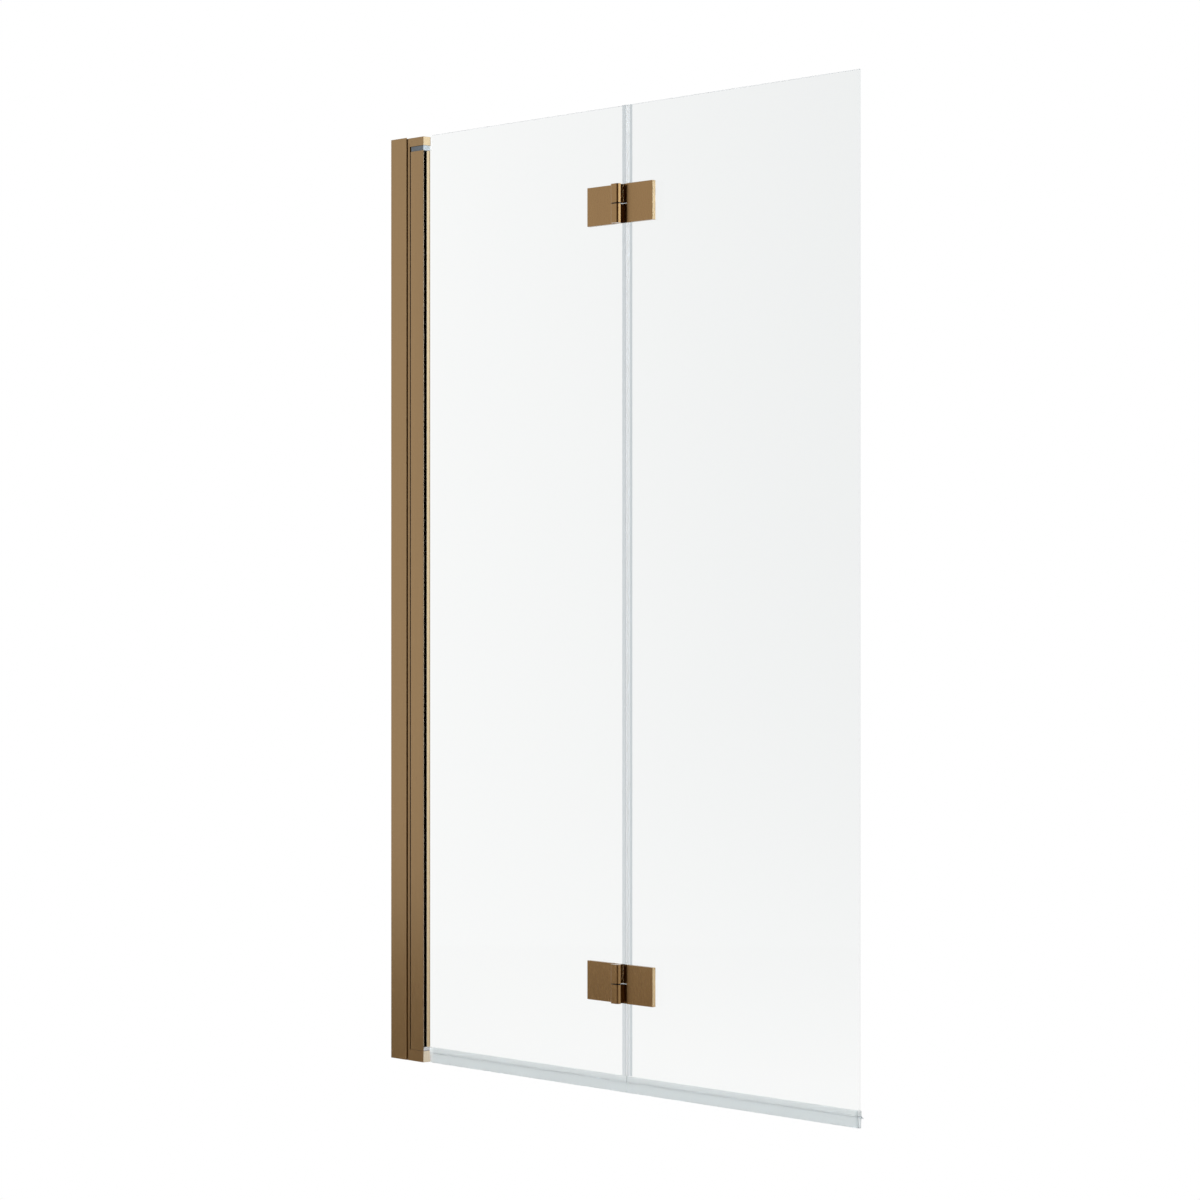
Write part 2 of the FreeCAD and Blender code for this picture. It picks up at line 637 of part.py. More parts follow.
def make_leaf_pad(name, middle, start, end, bolt_x):
    """Clear pad between a leaf and the pane."""
    body = add_node(name, new_body(name))
    loops = [box_loop(f"({start} + pad_inset)", f"({end} - pad_inset)",
                      f"({middle} - leaf_height / 2 + pad_inset)",
                      f"({middle} + leaf_height / 2 - pad_inset)")]
    loops += [(bolt_x, height, "(bolt_radius + screw_clearance)") for height in bolt_heights(middle)]
    pad_through(body, loops, PAD_FRONT, GLASS_FRONT)


def make_leaf_fixings(prefix, middle, bolt_x):
    """Flush countersunk bolts and the sleeves that keep them off the glass."""
    cone = "(glass_thickness - bolt_cone_depth)"
    hole = "(bolt_radius + screw_clearance)"
    mouth = "(bolt_head_radius + screw_clearance)"
    point = "(-pad_thickness - bolt_bite)"
    bolts, sleeves = [], []
    for index, height in enumerate(bolt_heights(middle)):
        bolt = turn(f"{prefix}_bolt_{index}", "XY_Plane", [
            ("0", point), ("bolt_radius", point), ("bolt_radius", cone),
            ("bolt_head_radius", "glass_thickness"), ("0", "glass_thickness")])
        pocket_through(bolt, [hexagon("bolt_socket_radius")],
                       "(glass_thickness - bolt_socket_depth)", "(glass_thickness + overrun)")
        sleeve = turn(f"{prefix}_sleeve_{index}", "XY_Plane", [
            (hole, "0"), ("(bolt_radius + sleeve_wall)", "0"), ("(bolt_radius + sleeve_wall)", cone),
            ("(bolt_head_radius + sleeve_wall)", "glass_thickness"), (mouth, "glass_thickness"),
            (hole, cone)])
        bolts.append(place(bolt, bolt_x, GLASS_FRONT, height))
        sleeves.append(place(sleeve, bolt_x, GLASS_FRONT, height))
    group(f"{prefix}_bolts", bolts)
    group(f"{prefix}_sleeves", sleeves)


def make_hinge(hinge, middle):
    """One fold hinge: both leaves, pads, fixings, the pin and its washer."""
    top = f"({middle} + leaf_height / 2)"
    bottom = f"({middle} - leaf_height / 2)"
    upper, lower = (f"({middle} + knuckle_gap / 2)", top), (bottom, f"({middle} - knuckle_gap / 2)")
    inner_root, outer_root = f"({INNER_LEAF_END} - arm_overlap)", f"({OUTER_LEAF_START} + arm_overlap)"
    make_leaf(f"{hinge}_inner_leaf", middle, (INNER_LEAF_START, INNER_LEAF_END),
              (inner_root, f"({FOLD_X} + neck_half)"), (inner_root, f"({FOLD_X} - neck_half - lip_gap)"),
              upper, lower, INNER_BOLT_X)
    make_leaf(f"{hinge}_outer_leaf", middle, (OUTER_LEAF_START, OUTER_LEAF_END),
              (f"({FOLD_X} - neck_half)", outer_root), (f"({FOLD_X} + neck_half + lip_gap)", outer_root),
              lower, upper, OUTER_BOLT_X)
    make_leaf_pad(f"{hinge}_inner_pad", middle, INNER_LEAF_START, INNER_LEAF_END, INNER_BOLT_X)
    make_leaf_pad(f"{hinge}_outer_pad", middle, OUTER_LEAF_START, OUTER_LEAF_END, OUTER_BOLT_X)
    make_leaf_fixings(f"{hinge}_inner", middle, INNER_BOLT_X)
    make_leaf_fixings(f"{hinge}_outer", middle, OUTER_BOLT_X)
    pin = add_node(f"{hinge}_hinge_pin", new_body(f"{hinge}_hinge_pin"))
    pad(pin, [(FOLD_X, FOLD_Y, "hinge_pin_radius")],
        f"({bottom} + hinge_pin_cover)", f"({top} - hinge_pin_cover)")
    washer = add_node(f"{hinge}_hinge_washer", new_body(f"{hinge}_hinge_washer"))
    half = "(knuckle_gap / 2 - washer_clearance)"
    pad(washer, [(FOLD_X, FOLD_Y, "washer_radius"),
                 (FOLD_X, FOLD_Y, "(hinge_pin_radius + pin_clearance)")],
        f"({middle} - {half})", f"({middle} + {half})")


# Seals: clear strips on the pane edges.

SEAL_FRONT = f"({GLASS_FRONT} - seal_clearance - seal_skin)"
SEAL_BACK = f"({GLASS_BACK} + seal_clearance + seal_skin)"
LEG_FRONT = f"({SEAL_FRONT} + seal_skin)"
LEG_BACK = f"({SEAL_BACK} - seal_skin)"


def make_bottom_seal(name, start, end):
    """Clip with a hollow skirt below the pane and a drip fin on the bath side."""
    body = add_node(name, new_body(name))
    grip_top = f"({GLASS_BOTTOM} + bottom_seal_grip)"
    floor_top = f"({GLASS_BOTTOM} - seal_clearance)"
    floor = f"({floor_top} - seal_skin)"
    fin_tip = f"({floor} - bottom_seal_fin_drop)"
    skirt = f"({GLASS_BOTTOM} - bottom_seal_skirt)"
    outline = [(SEAL_FRONT, grip_top), (LEG_FRONT, grip_top), (LEG_FRONT, floor_top),
               (LEG_BACK, floor_top), (LEG_BACK, grip_top), (SEAL_BACK, grip_top),
               (SEAL_BACK, floor_top), (f"({SEAL_BACK} + bottom_seal_fin)", f"({fin_tip} + seal_skin)"),
               (f"({SEAL_BACK} + bottom_seal_fin)", fin_tip), (SEAL_BACK, f"({floor} - seal_skin)"),
               (LEG_BACK, skirt), (LEG_FRONT, skirt), (SEAL_FRONT, floor)]
    hollow = [(LEG_FRONT, floor), (LEG_BACK, floor),
              (f"({LEG_BACK} - seal_skin)", f"({skirt} + seal_skin)"),
              (f"({LEG_FRONT} + seal_skin)", f"({skirt} + seal_skin)")]
    pad_along(body, [outline, hollow], start, end)


def make_fold_seal(name, edge, outwards, grip, with_bulb):
    """Clip on an upright pane edge; outwards is the sign of the way the edge looks along X."""
    body = add_node(name, new_body(name))
    low, high = f"({GLASS_BOTTOM} + bottom_seal_grip + seal_end_gap)", GLASS_TOP
    heel = f"({edge} - {outwards} * {grip})"
    web_in = f"({edge} + {outwards} * seal_clearance)"
    web_out = f"({edge} + {outwards} * (seal_clearance + seal_skin))"
    pad(body, [[(heel, SEAL_FRONT), (web_out, SEAL_FRONT), (web_out, SEAL_BACK), (heel, SEAL_BACK),
                (heel, LEG_BACK), (web_in, LEG_BACK), (web_in, LEG_FRONT), (heel, LEG_FRONT)]], low, high)
    if with_bulb:
        middle = f"({GLASS_FRONT} + glass_thickness / 2)"
        pad(body, [(web_out, middle, "fold_seal_bulb")], low, high)
        pocket(body, [box_loop(f"({web_in} - {outwards} * fold_seal_bulb)", web_in, LEG_FRONT, LEG_BACK)],
               low, high)


def make_screen():
    make_wall_profile()
    make_slide_profile()
    make_clamp_screws()
    make_cap("top_cap", CAP_TOP_SLAB, CAP_TOP, CAP_TOP,
             CAP_TOP_FACE, f"({CAP_TOP_FACE} + pin_cap_length)",
             f"({CAP_TOP} - cap_screw_head_height)", f"({CAP_TOP} + overrun)",
             (CAP_TOP_FACE, CAP_TOP_SLAB))
    make_cap("bottom_cap", BOTTOM, CAP_BOTTOM_FACE, BOTTOM,
             f"({CAP_BOTTOM_FACE} - pin_cap_length)", CAP_BOTTOM_FACE,
             f"({BOTTOM} - overrun)", f"({BOTTOM} + cap_screw_head_height)")
    make_cap_screws("top_cap_screws", CAP_TOP, -1)
    make_cap_screws("bottom_cap_screws", BOTTOM, 1)
    make_pivot_pin("top_pivot_pin", f"({CAP_TOP_FACE} - pin_bush_length)",
                   f"({CAP_TOP_FACE} + pin_cap_length)")
    make_pivot_pin("bottom_pivot_pin", f"({CAP_BOTTOM_FACE} - pin_cap_length)",
                   f"({CAP_BOTTOM_FACE} + pin_bush_length)")
    make_pivot_profile()
    make_bush("top_bush", PIVOT_TOP, f"({PIVOT_TOP} + top_flange)", f"({PIVOT_TOP} - bush_shank)",
              f"({CAP_TOP_FACE} - pin_bush_length - axial_clearance)")
    make_bush("bottom_bush", PIVOT_BOTTOM, f"({PIVOT_BOTTOM} - bottom_flange)",
              f"({PIVOT_BOTTOM} + bush_shank)",
              f"({CAP_BOTTOM_FACE} + pin_bush_length + axial_clearance)")
    make_glazing("glazing_gasket", f"({FRONT} + glass_lip)", GLASS_FRONT)
    make_glazing("glazing_tape", GLASS_BACK, SLOT_BACK)
    make_inner_glass()
    make_outer_glass()
    for hinge, middle in HINGES.items():
        make_hinge(hinge, middle)
    make_bottom_seal("inner_bottom_seal", NOTCH_EDGE, "(fold_place - seal_end_gap)")
    make_bottom_seal("outer_bottom_seal", "(fold_place + seal_end_gap)", "screen_width")
    make_fold_seal("inner_fold_seal", INNER_GLASS_END, 1, "inner_fold_grip", True)
    make_fold_seal("outer_fold_seal", OUTER_GLASS_START, -1, "outer_fold_grip", False)


def check_document():
    """Stop before anything is written if an object failed or a shape is not sound."""
    faults = [obj.Name for obj in doc.Objects if {"Invalid", "Error"} & set(obj.State)]
    faults += [name for name, obj in nodes.items() if obj.Shape.isNull() or not obj.Shape.isValid()]
    faults += [name for name, obj in nodes.items() if not obj.Shape.Solids]
    if faults:
        raise RuntimeError("not sound: " + ", ".join(faults))


make_screen()
doc.recompute()
check_document()
os.makedirs("parts", exist_ok=True)
for name, obj in nodes.items():
    obj.Shape.exportStep(f"parts/{name}.step")
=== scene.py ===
"""Looks of the two-panel folding bath screen.

Lacquered brushed bronze on the profiles and hinges, clear toughened panes, milky clear strips on
the pane edges, and the viewing angle of the photograph. Metres, in the frame of the solids:
+X along the screen to its free edge, -Y the room side, +Z up.
"""
import json
import math

import bmesh
import bpy
import numpy as np
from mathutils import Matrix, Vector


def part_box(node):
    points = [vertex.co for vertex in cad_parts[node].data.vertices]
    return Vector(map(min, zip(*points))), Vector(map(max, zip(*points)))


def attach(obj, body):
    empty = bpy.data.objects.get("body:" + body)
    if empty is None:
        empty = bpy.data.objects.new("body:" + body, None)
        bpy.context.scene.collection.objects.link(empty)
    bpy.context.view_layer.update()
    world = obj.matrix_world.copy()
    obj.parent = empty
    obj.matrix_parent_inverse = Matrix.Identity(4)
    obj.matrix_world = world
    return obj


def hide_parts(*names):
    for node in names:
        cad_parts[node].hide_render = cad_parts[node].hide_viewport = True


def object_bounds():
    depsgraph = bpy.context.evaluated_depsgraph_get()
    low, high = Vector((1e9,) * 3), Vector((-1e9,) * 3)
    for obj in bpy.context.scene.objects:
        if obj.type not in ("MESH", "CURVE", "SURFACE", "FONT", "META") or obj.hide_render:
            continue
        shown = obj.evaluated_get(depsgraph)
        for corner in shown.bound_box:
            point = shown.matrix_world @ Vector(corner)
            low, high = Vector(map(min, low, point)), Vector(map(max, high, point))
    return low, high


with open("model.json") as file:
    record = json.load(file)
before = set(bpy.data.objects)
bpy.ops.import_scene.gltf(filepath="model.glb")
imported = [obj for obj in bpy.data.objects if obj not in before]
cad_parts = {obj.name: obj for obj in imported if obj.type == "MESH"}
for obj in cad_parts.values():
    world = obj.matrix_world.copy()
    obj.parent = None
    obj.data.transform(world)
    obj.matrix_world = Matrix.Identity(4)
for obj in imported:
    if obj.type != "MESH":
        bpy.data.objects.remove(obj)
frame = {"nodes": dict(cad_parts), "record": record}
cad_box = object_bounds()
scene = bpy.context.scene
nodes = frame["nodes"]

MM = 0.001
HINGES = ("upper", "lower")
SIDES = ("inner", "outer")


# Shapes: closed profiles carried along straight paths.

def rounded(points, radius, steps=4):
    """A polygon with soft corners. Each corner P becomes the curve
    (1-t)^2 A + 2t(1-t) P + t^2 B, with A and B a radius away from P along its two sides,
    or at 45% of a side that is too short for that."""
    corner = np.asarray(points, float)
    back, ahead = np.roll(corner, 1, 0) - corner, np.roll(corner, -1, 0) - corner
    length_back, length_ahead = np.linalg.norm(back, axis=1), np.linalg.norm(ahead, axis=1)
    a = corner + back * (np.minimum(radius / length_back, 0.45))[:, None]
    b = corner + ahead * (np.minimum(radius / length_ahead, 0.45))[:, None]
    t = np.linspace(0.0, 1.0, steps + 1)[None, :, None]
    curve = (1 - t) ** 2 * a[:, None] + 2 * t * (1 - t) * corner[:, None] + t ** 2 * b[:, None]
    return curve.reshape(-1, 2)


def corners(left, bottom, right, top):
    """The four corners of a rectangle, counter-clockwise."""
    return [(left, bottom), (right, bottom), (right, top), (left, top)]


def circle(count):
    """Points (cos a, sin a) at count even steps of a."""
    angle = np.linspace(0.0, 2.0 * math.pi, count + 1)[:-1]
    return np.stack([np.cos(angle), np.sin(angle)], 1)


# For a path along each axis: the two axes of the section across it, and the axis itself.
PLANES = {"X": (1, 2, 0), "Y": (2, 0, 1), "Z": (0, 1, 2)}


def carried(loop, along, stations):
    """Point (k, i) is loop[i] in the plane across the path, at stations[k] along it."""
    first, second, path = PLANES[along]
    grid = np.empty((len(stations), len(loop), 3))
    grid[:, :, first], grid[:, :, second] = loop[None, :, 0], loop[None, :, 1]
    grid[:, :, path] = np.asarray(stations)[:, None]
    return grid.reshape(-1, 3)


def walls(count, rows):
    """Quads between neighbouring rows of a carried loop that has count points."""
    i, k = np.meshgrid(np.arange(count), np.arange(rows - 1))
    here, there = k * count + i, k * count + (i + 1) % count
    return np.stack([here, there, there + count, here + count], -1).reshape(-1, 4).tolist()


def run(first, last, count):
    """Indices from first round to last on a closed loop of count points."""
    return [(first + step) % count for step in range((last - first) % count + 1)]


def end_faces(outline, hollows):
    """The end of a strip: one face, or two that meet along the line through its hollows, which
    follow each other in the section's first direction."""
    size = len(outline)
    if not hollows:
        return [list(range(size))]
    under, over, start = [], [], size
    for hollow in hollows:
        inside, left, right = len(hollow), int(hollow[:, 0].argmin()), int(hollow[:, 0].argmax())
        under = [start + j for j in reversed(run(left, right, inside))] + under
        over = over + [start + j for j in reversed(run(right, left, inside))]
        start += inside
    tips = hollows[0][hollows[0][:, 0].argmin()], hollows[-1][hollows[-1][:, 0].argmax()]
    first, last = [int(((outline - tip) ** 2).sum(1).argmin()) for tip in tips]
    return [run(first, last, size) + under, run(last, first, size) + over]


def counter_clockwise(loop):
    """The loop with its area positive: half the sum of x dy - y dx round it."""
    following = np.roll(loop, -1, 0)
    area = (loop[:, 0] * following[:, 1] - loop[:, 1] * following[:, 0]).sum()
    return loop if area > 0 else loop[::-1]


def strip_arrays(outline, along, stations, *hollows):
    """A closed strip: the outline, and its hollows if it has any, carried along a straight path."""
    loops = [counter_clockwise(np.asarray(loop, float)) for loop in (outline, *hollows)]
    rows, sizes = len(stations), [len(loop) for loop in loops]
    section = sum(sizes)
    points = np.concatenate([carried(loop, along, stations).reshape(rows, -1, 3) for loop in loops], 1)
    faces, start = [], 0
    for size in sizes:
        quads = np.array(walls(size, rows))
        row, index = quads // size, quads % size
        faces += (row * section + index + start).tolist()
        start += size
    ends = end_faces(loops[0], loops[1:])
    faces += ends + [[(rows - 1) * section + index for index in face] for face in ends]
    return points.reshape(-1, 3), faces


def dress(name, strip, body, finish, node):
    """One new piece from the points and faces of a strip, riding on a body in place of a plain solid."""
    points, faces = strip
    mesh = bpy.data.meshes.new(name)
    mesh.from_pydata(points.tolist(), [], faces)
    form = bmesh.new()
    form.from_mesh(mesh)
    bmesh.ops.recalc_face_normals(form, faces=form.faces)
    form.to_mesh(mesh)
    form.free()
    mesh.materials.append(finish)
    piece = bpy.data.objects.new(name, mesh)
    scene.collection.objects.link(piece)
    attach(piece, body)
    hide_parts(node)


# Finishes.

# Depths that the masks use: the skin of a face, the web over a hanging skirt, the open mouth of a seal
# with its painted shade, the side of the glazing lip with its painted shade, and the reach and rim of
# the painted shade between two knuckles.
EDGE_SKIN, WEB_DROP, MOUTH_DEPTH, LIP_DEPTH = 0.04 * MM, 1.2 * MM, 4.0 * MM, 0.5 * MM
SPLIT_REACH, SPLIT_RIM = 10.0 * MM, 0.5 * MM
OVER, UNDER = "GREATER_THAN", "LESS_THAN"


def linear(red, green, blue):
    """A colour from its 0 to 255 screen values: ((c + 0.055) / 1.055)^2.4, or c / 12.92 when dark."""
    share = np.array([red, green, blue]) / 255.0
    value = np.where(share > 0.04045, ((share + 0.055) / 1.055) ** 2.4, share / 12.92)
    return (*value.tolist(), 1.0)


def new_group(name, inputs, outputs):
    """A shader node group with float inputs (name, default) and float outputs, plus a place."""
    tree = bpy.data.node_groups.new(name, "ShaderNodeTree")
    tree.interface.new_socket("Place", in_out="INPUT", socket_type="NodeSocketVector")
    for label, default in inputs:
        socket = tree.interface.new_socket(label, in_out="INPUT", socket_type="NodeSocketFloat")
        socket.default_value = default
    for label in outputs:
        tree.interface.new_socket(label, in_out="OUTPUT", socket_type="NodeSocketFloat")
    return tree, tree.nodes.new("NodeGroupInput"), tree.nodes.new("NodeGroupOutput")


def noise_in(tree, place, scale, detail):
    """A noise texture in a group, with place and scale as sockets."""
    noise = tree.nodes.new("ShaderNodeTexNoise")
    noise.inputs["Detail"].default_value = detail
    tree.links.new(place, noise.inputs["Vector"])
    tree.links.new(scale, noise.inputs["Scale"])
    return noise.outputs["Fac"]


def op_in(tree, operation, first, second):
    """A math node in a group or a material; either side is a socket or a number."""
    node = tree.nodes.new("ShaderNodeMath")
    node.operation = operation
    for socket, value in zip(node.inputs, (first, second)):
        if isinstance(value, bpy.types.NodeSocket):
            tree.links.new(value, socket)
        else:
            socket.default_value = value
    return node.outputs[0]


def axes_in(tree, place):
    """The X, Y and Z of a place in a group."""
    split = tree.nodes.new("ShaderNodeSeparateXYZ")
    tree.links.new(place, split.inputs[0])
    return split.outputs[:]


def brushed_grain_group():
    """Fine drawn lines over broad drifts of tone. Tone is 65% lines and 35% drift;
    Sheen is the middle roughness plus the lines times their spread."""
    tree, given, made = new_group("brushed grain", [("Lines", 900.0), ("Drift", 25.0), ("Middle", 0.3),
                                                    ("Spread", 0.1)], ["Tone", "Sheen", "Height"])
    lines = noise_in(tree, given.outputs["Place"], given.outputs["Lines"], 3.0)
    drift = noise_in(tree, given.outputs["Place"], given.outputs["Drift"], 2.0)
    tone = op_in(tree, "ADD", op_in(tree, "MULTIPLY", lines, 0.65), op_in(tree, "MULTIPLY", drift, 0.35))
    swing = op_in(tree, "MULTIPLY", op_in(tree, "SUBTRACT", lines, 0.5), given.outputs["Spread"])
    tree.links.new(tone, made.inputs["Tone"])
    tree.links.new(op_in(tree, "ADD", given.outputs["Middle"], swing), made.inputs["Sheen"])
    tree.links.new(lines, made.inputs["Height"])
    return tree


def moulded_skin_group():
    """The eggshell skin of moulded or extruded plastic: fine pits over slow clouds."""
    tree, given, made = new_group("moulded skin", [("Pits", 1800.0), ("Clouds", 30.0), ("Middle", 0.4),
                                                   ("Spread", 0.1)], ["Tone", "Sheen", "Height"])
    pits = noise_in(tree, given.outputs["Place"], given.outputs["Pits"], 2.0)
    clouds = noise_in(tree, given.outputs["Place"], given.outputs["Clouds"], 3.0)
    tone = op_in(tree, "ADD", op_in(tree, "MULTIPLY", pits, 0.3), op_in(tree, "MULTIPLY", clouds, 0.7))
    swing = op_in(tree, "MULTIPLY", op_in(tree, "SUBTRACT", clouds, 0.5), given.outputs["Spread"])
    tree.links.new(tone, made.inputs["Tone"])
    tree.links.new(op_in(tree, "ADD", given.outputs["Middle"], swing), made.inputs["Sheen"])
    tree.links.new(pits, made.inputs["Height"])
    return tree


def rising_pane_shade_group():
    """Painted shade that grows towards the free edge and settles above the foot of a pane: Mask
    is Gain X (1 - e^(-Steep (Z + Rise)))."""
    tree, given, made = new_group(
        "rising pane shade", [("Rise", 0.65), ("Steep", 3.3), ("Gain", 0.72)], ["Mask"])
    x, _, z = axes_in(tree, given.outputs["Place"])
    climb = op_in(tree, "MULTIPLY", op_in(tree, "ADD", z, given.outputs["Rise"]), given.outputs["Steep"])
    fading = op_in(tree, "EXPONENT", op_in(tree, "MULTIPLY", climb, -1.0), 0.0)
    grown = op_in(tree, "MULTIPLY", x, op_in(tree, "SUBTRACT", 1.0, fading))
    mask = op_in(tree, "MULTIPLY", grown, given.outputs["Gain"])
    tree.links.new(mask, made.inputs["Mask"])
    return tree


def height_share_group():
    """A share that changes evenly with height: Mask is Level + Slope Z. The fold strip takes it
    as painted shade, darker towards the bottom.
    """
    tree, given, made = new_group("height share", [("Level", 0.5), ("Slope", -0.714)], ["Mask"])
    z = axes_in(tree, given.outputs["Place"])[2]
    rise = op_in(tree, "MULTIPLY", z, given.outputs["Slope"])
    tree.links.new(op_in(tree, "ADD", given.outputs["Level"], rise), made.inputs["Mask"])
    return tree


def clip_leg_shade_group():
    """Painted shade on the front leg of the clip before the fold and the back leg of the clip past it.
    The front leg has X below Inner and Y below Front; Mask is Level + Slope Z there. The back leg
    has X above Outer and Y above Back; Mask is 1 there."""
    tree, given, made = new_group(
        "clip leg shade", [("Inner", 0.5387), ("Outer", 0.54), ("Front", -0.0056), ("Back", -0.0008),
                      ("Level", 0.8), ("Slope", 0.143)], ["Mask"])
    x, y, z = axes_in(tree, given.outputs["Place"])
    front = op_in(tree, "MULTIPLY", op_in(tree, UNDER, x, given.outputs["Inner"]),
                  op_in(tree, UNDER, y, given.outputs["Front"]))
    back = op_in(tree, "MULTIPLY", op_in(tree, OVER, x, given.outputs["Outer"]),
                 op_in(tree, OVER, y, given.outputs["Back"]))
    rise = op_in(tree, "MULTIPLY", z, given.outputs["Slope"])
    level = op_in(tree, "ADD", rise, given.outputs["Level"])
    tree.links.new(op_in(tree, "ADD", op_in(tree, "MULTIPLY", front, level), back), made.inputs["Mask"])
    return tree


def limits_group(name, *limits):
    """What lies on the given side of every limit, which is an axis, a side and a level: Mask is 1
    there and 0 elsewhere."""
    labels = [f"{axis} {side.lower()}" for axis, side, _ in limits]
    levels = [level for _, _, level in limits]
    tree, given, made = new_group(name, list(zip(labels, levels)), ["Mask"])
    place = dict(zip("XYZ", axes_in(tree, given.outputs["Place"])))
    mask = 1.0
    for label, (axis, side, _) in zip(labels, limits):
        mask = op_in(tree, "MULTIPLY", mask, op_in(tree, side, place[axis], given.outputs[label]))
    tree.links.new(mask, made.inputs["Mask"])
    return tree


def knuckle_split_shade_group(washers):
    """Painted shade on the rims where two knuckles meet: Mask is 1 where X is within Reach of the
    washers' Axis and Z within Half of the middle of either washer."""
    (low, high), levels = washers[0], [0.5 * (low.z + high.z) for low, high in washers]
    axis, half = 0.5 * (low.x + high.x), 0.5 * (high.z - low.z) + SPLIT_RIM
    tree, given, made = new_group(
        "knuckle split shade", [("Axis", axis), ("Upper", levels[0]), ("Lower", levels[1]),
                          ("Reach", SPLIT_REACH), ("Half", half)], ["Mask"])
    x, _, z = axes_in(tree, given.outputs["Place"])

    def within(value, middle, reach):
        away = op_in(tree, "ABSOLUTE", op_in(tree, "SUBTRACT", value, given.outputs[middle]), 0.0)
        return op_in(tree, UNDER, away, given.outputs[reach])

    level = op_in(tree, "ADD", within(z, "Upper", "Half"), within(z, "Lower", "Half"))
    tree.links.new(op_in(tree, "MULTIPLY", within(x, "Axis", "Reach"), level), made.inputs["Mask"])
    return tree


PANE_LOW, PANE_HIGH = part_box("inner_glass")
PIVOT_LOW, PIVOT_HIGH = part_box("pivot_profile")
PANE_TIP, SEAL_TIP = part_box("outer_glass")[1].x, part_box("outer_bottom_seal")[1].x
BUSH_FACE, FOOT_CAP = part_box("top_bush")[0].y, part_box("bottom_cap")[1]
BRUSHED, MOULDED = brushed_grain_group(), moulded_skin_group()
RISING_PANE_SHADE, CLIP_LEG_SHADE, FOLD_STRIP_LOW_SHADE = rising_pane_shade_group(), clip_leg_shade_group(), height_share_group()
KNUCKLE_SPLIT_SHADE = knuckle_split_shade_group([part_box(f"{hinge}_hinge_washer") for hinge in HINGES])
GROUND = limits_group(
    "ground edge", ("Y", OVER, PANE_LOW.y + EDGE_SKIN), ("Y", UNDER, PANE_HIGH.y - EDGE_SKIN))
PANE_END = limits_group("pane end", ("X", OVER, PANE_TIP - EDGE_SKIN))
SKIRT = limits_group("hanging skirt", ("Z", UNDER, PANE_LOW.z - WEB_DROP))
# Painted shade: the end face of each bottom seal, darker.
SEAL_END_SHADE = limits_group("seal end shade", ("X", OVER, SEAL_TIP - EDGE_SKIN))
# Painted shade: the last few millimetres of each bottom seal, darker in its open mouth.
SEAL_MOUTH_SHADE = limits_group("seal mouth shade", ("X", OVER, SEAL_TIP - MOUTH_DEPTH))
# Painted shade: the front face of each bush, darker than its sides.
BUSH_FRONT_SHADE = limits_group("bush front shade", ("Y", UNDER, BUSH_FACE + EDGE_SKIN))
# Painted shade: the lower bush, browner than the upper one.
LOW_BUSH_SHADE = limits_group("low bush shade", ("Z", UNDER, 0.0))
# Painted light: the bottom cap's side towards +X, paler.
CAP_SIDE_LIGHT = limits_group(
    "cap side light", ("X", OVER, FOOT_CAP.x - EDGE_SKIN), ("Z", UNDER, FOOT_CAP.z + EDGE_SKIN))
# Painted shade: the side of the glazing lip and the slot behind it, darker.
LIP_SIDE_SHADE = limits_group(
    "lip side shade", ("X", OVER, PIVOT_HIGH.x - LIP_DEPTH), ("Y", OVER, PIVOT_LOW.y + EDGE_SKIN),
    ("Y", UNDER, PANE_LOW.y), ("Z", OVER, PIVOT_LOW.z), ("Z", UNDER, PIVOT_HIGH.z))


def mixed(tree, share, first, second):
    """A colour between two: each is a colour or a socket, and share a socket."""
    mix = tree.nodes.new("ShaderNodeMix")
    mix.data_type = "RGBA"
    ends = [socket for socket in mix.inputs if socket.type == "RGBA"]
    for socket, value in zip(ends, (first, second)):
        if isinstance(value, bpy.types.NodeSocket):
            tree.links.new(value, socket)
        else:
            socket.default_value = value
    tree.links.new(share, mix.inputs[0])
    return next(socket for socket in mix.outputs if socket.type == "RGBA")


def masked(tree, where, place):
    """The mask of a group, placed in a material."""
    node = tree.nodes.new("ShaderNodeGroup")
    node.node_tree = where
    tree.links.new(place.outputs["Object"], node.inputs["Place"])
    return node.outputs["Mask"]


def finish_of(name, skin, skin_values, stretch, dark, light, relief, tints=(), matt=None, **sockets):
    """A Principled finish: colour between dark and light by the skin's tone, its roughness and a
    faint relief. A tint is a group with a mask and the colour to reach where the mask is 1, and
    matt such a group with the least roughness there. The other sockets are plain values."""
    material = bpy.data.materials.new(name)
    material.use_nodes = True
    tree = material.node_tree
    shader = tree.nodes["Principled BSDF"]
    place = tree.nodes.new("ShaderNodeTexCoord")
    mapping = tree.nodes.new("ShaderNodeMapping")
    mapping.inputs["Scale"].default_value = stretch
    tree.links.new(place.outputs["Object"], mapping.inputs["Vector"])
    group = tree.nodes.new("ShaderNodeGroup")
    group.node_tree = skin
    tree.links.new(mapping.outputs["Vector"], group.inputs["Place"])
    for label, value in skin_values.items():
        group.inputs[label].default_value = value
    colour = mixed(tree, group.outputs["Tone"], dark, light)
    for where, reached in tints:
        colour = mixed(tree, masked(tree, where, place), colour, reached)
    tree.links.new(colour, shader.inputs["Base Color"])
    sheen = group.outputs["Sheen"]
    if matt:
        where, least = matt
        ground = op_in(tree, "MULTIPLY", masked(tree, where, place), least)
        sheen = op_in(tree, "MAXIMUM", sheen, ground)
    tree.links.new(sheen, shader.inputs["Roughness"])
    if relief:
        bump = tree.nodes.new("ShaderNodeBump")
        bump.inputs["Strength"].default_value = 1.0
        bump.inputs["Distance"].default_value = relief
        tree.links.new(group.outputs["Height"], bump.inputs["Height"])
        tree.links.new(bump.outputs["Normal"], shader.inputs["Normal"])
    for label, value in sockets.items():
        shader.inputs[label.replace("_", " ")].default_value = value
    return material


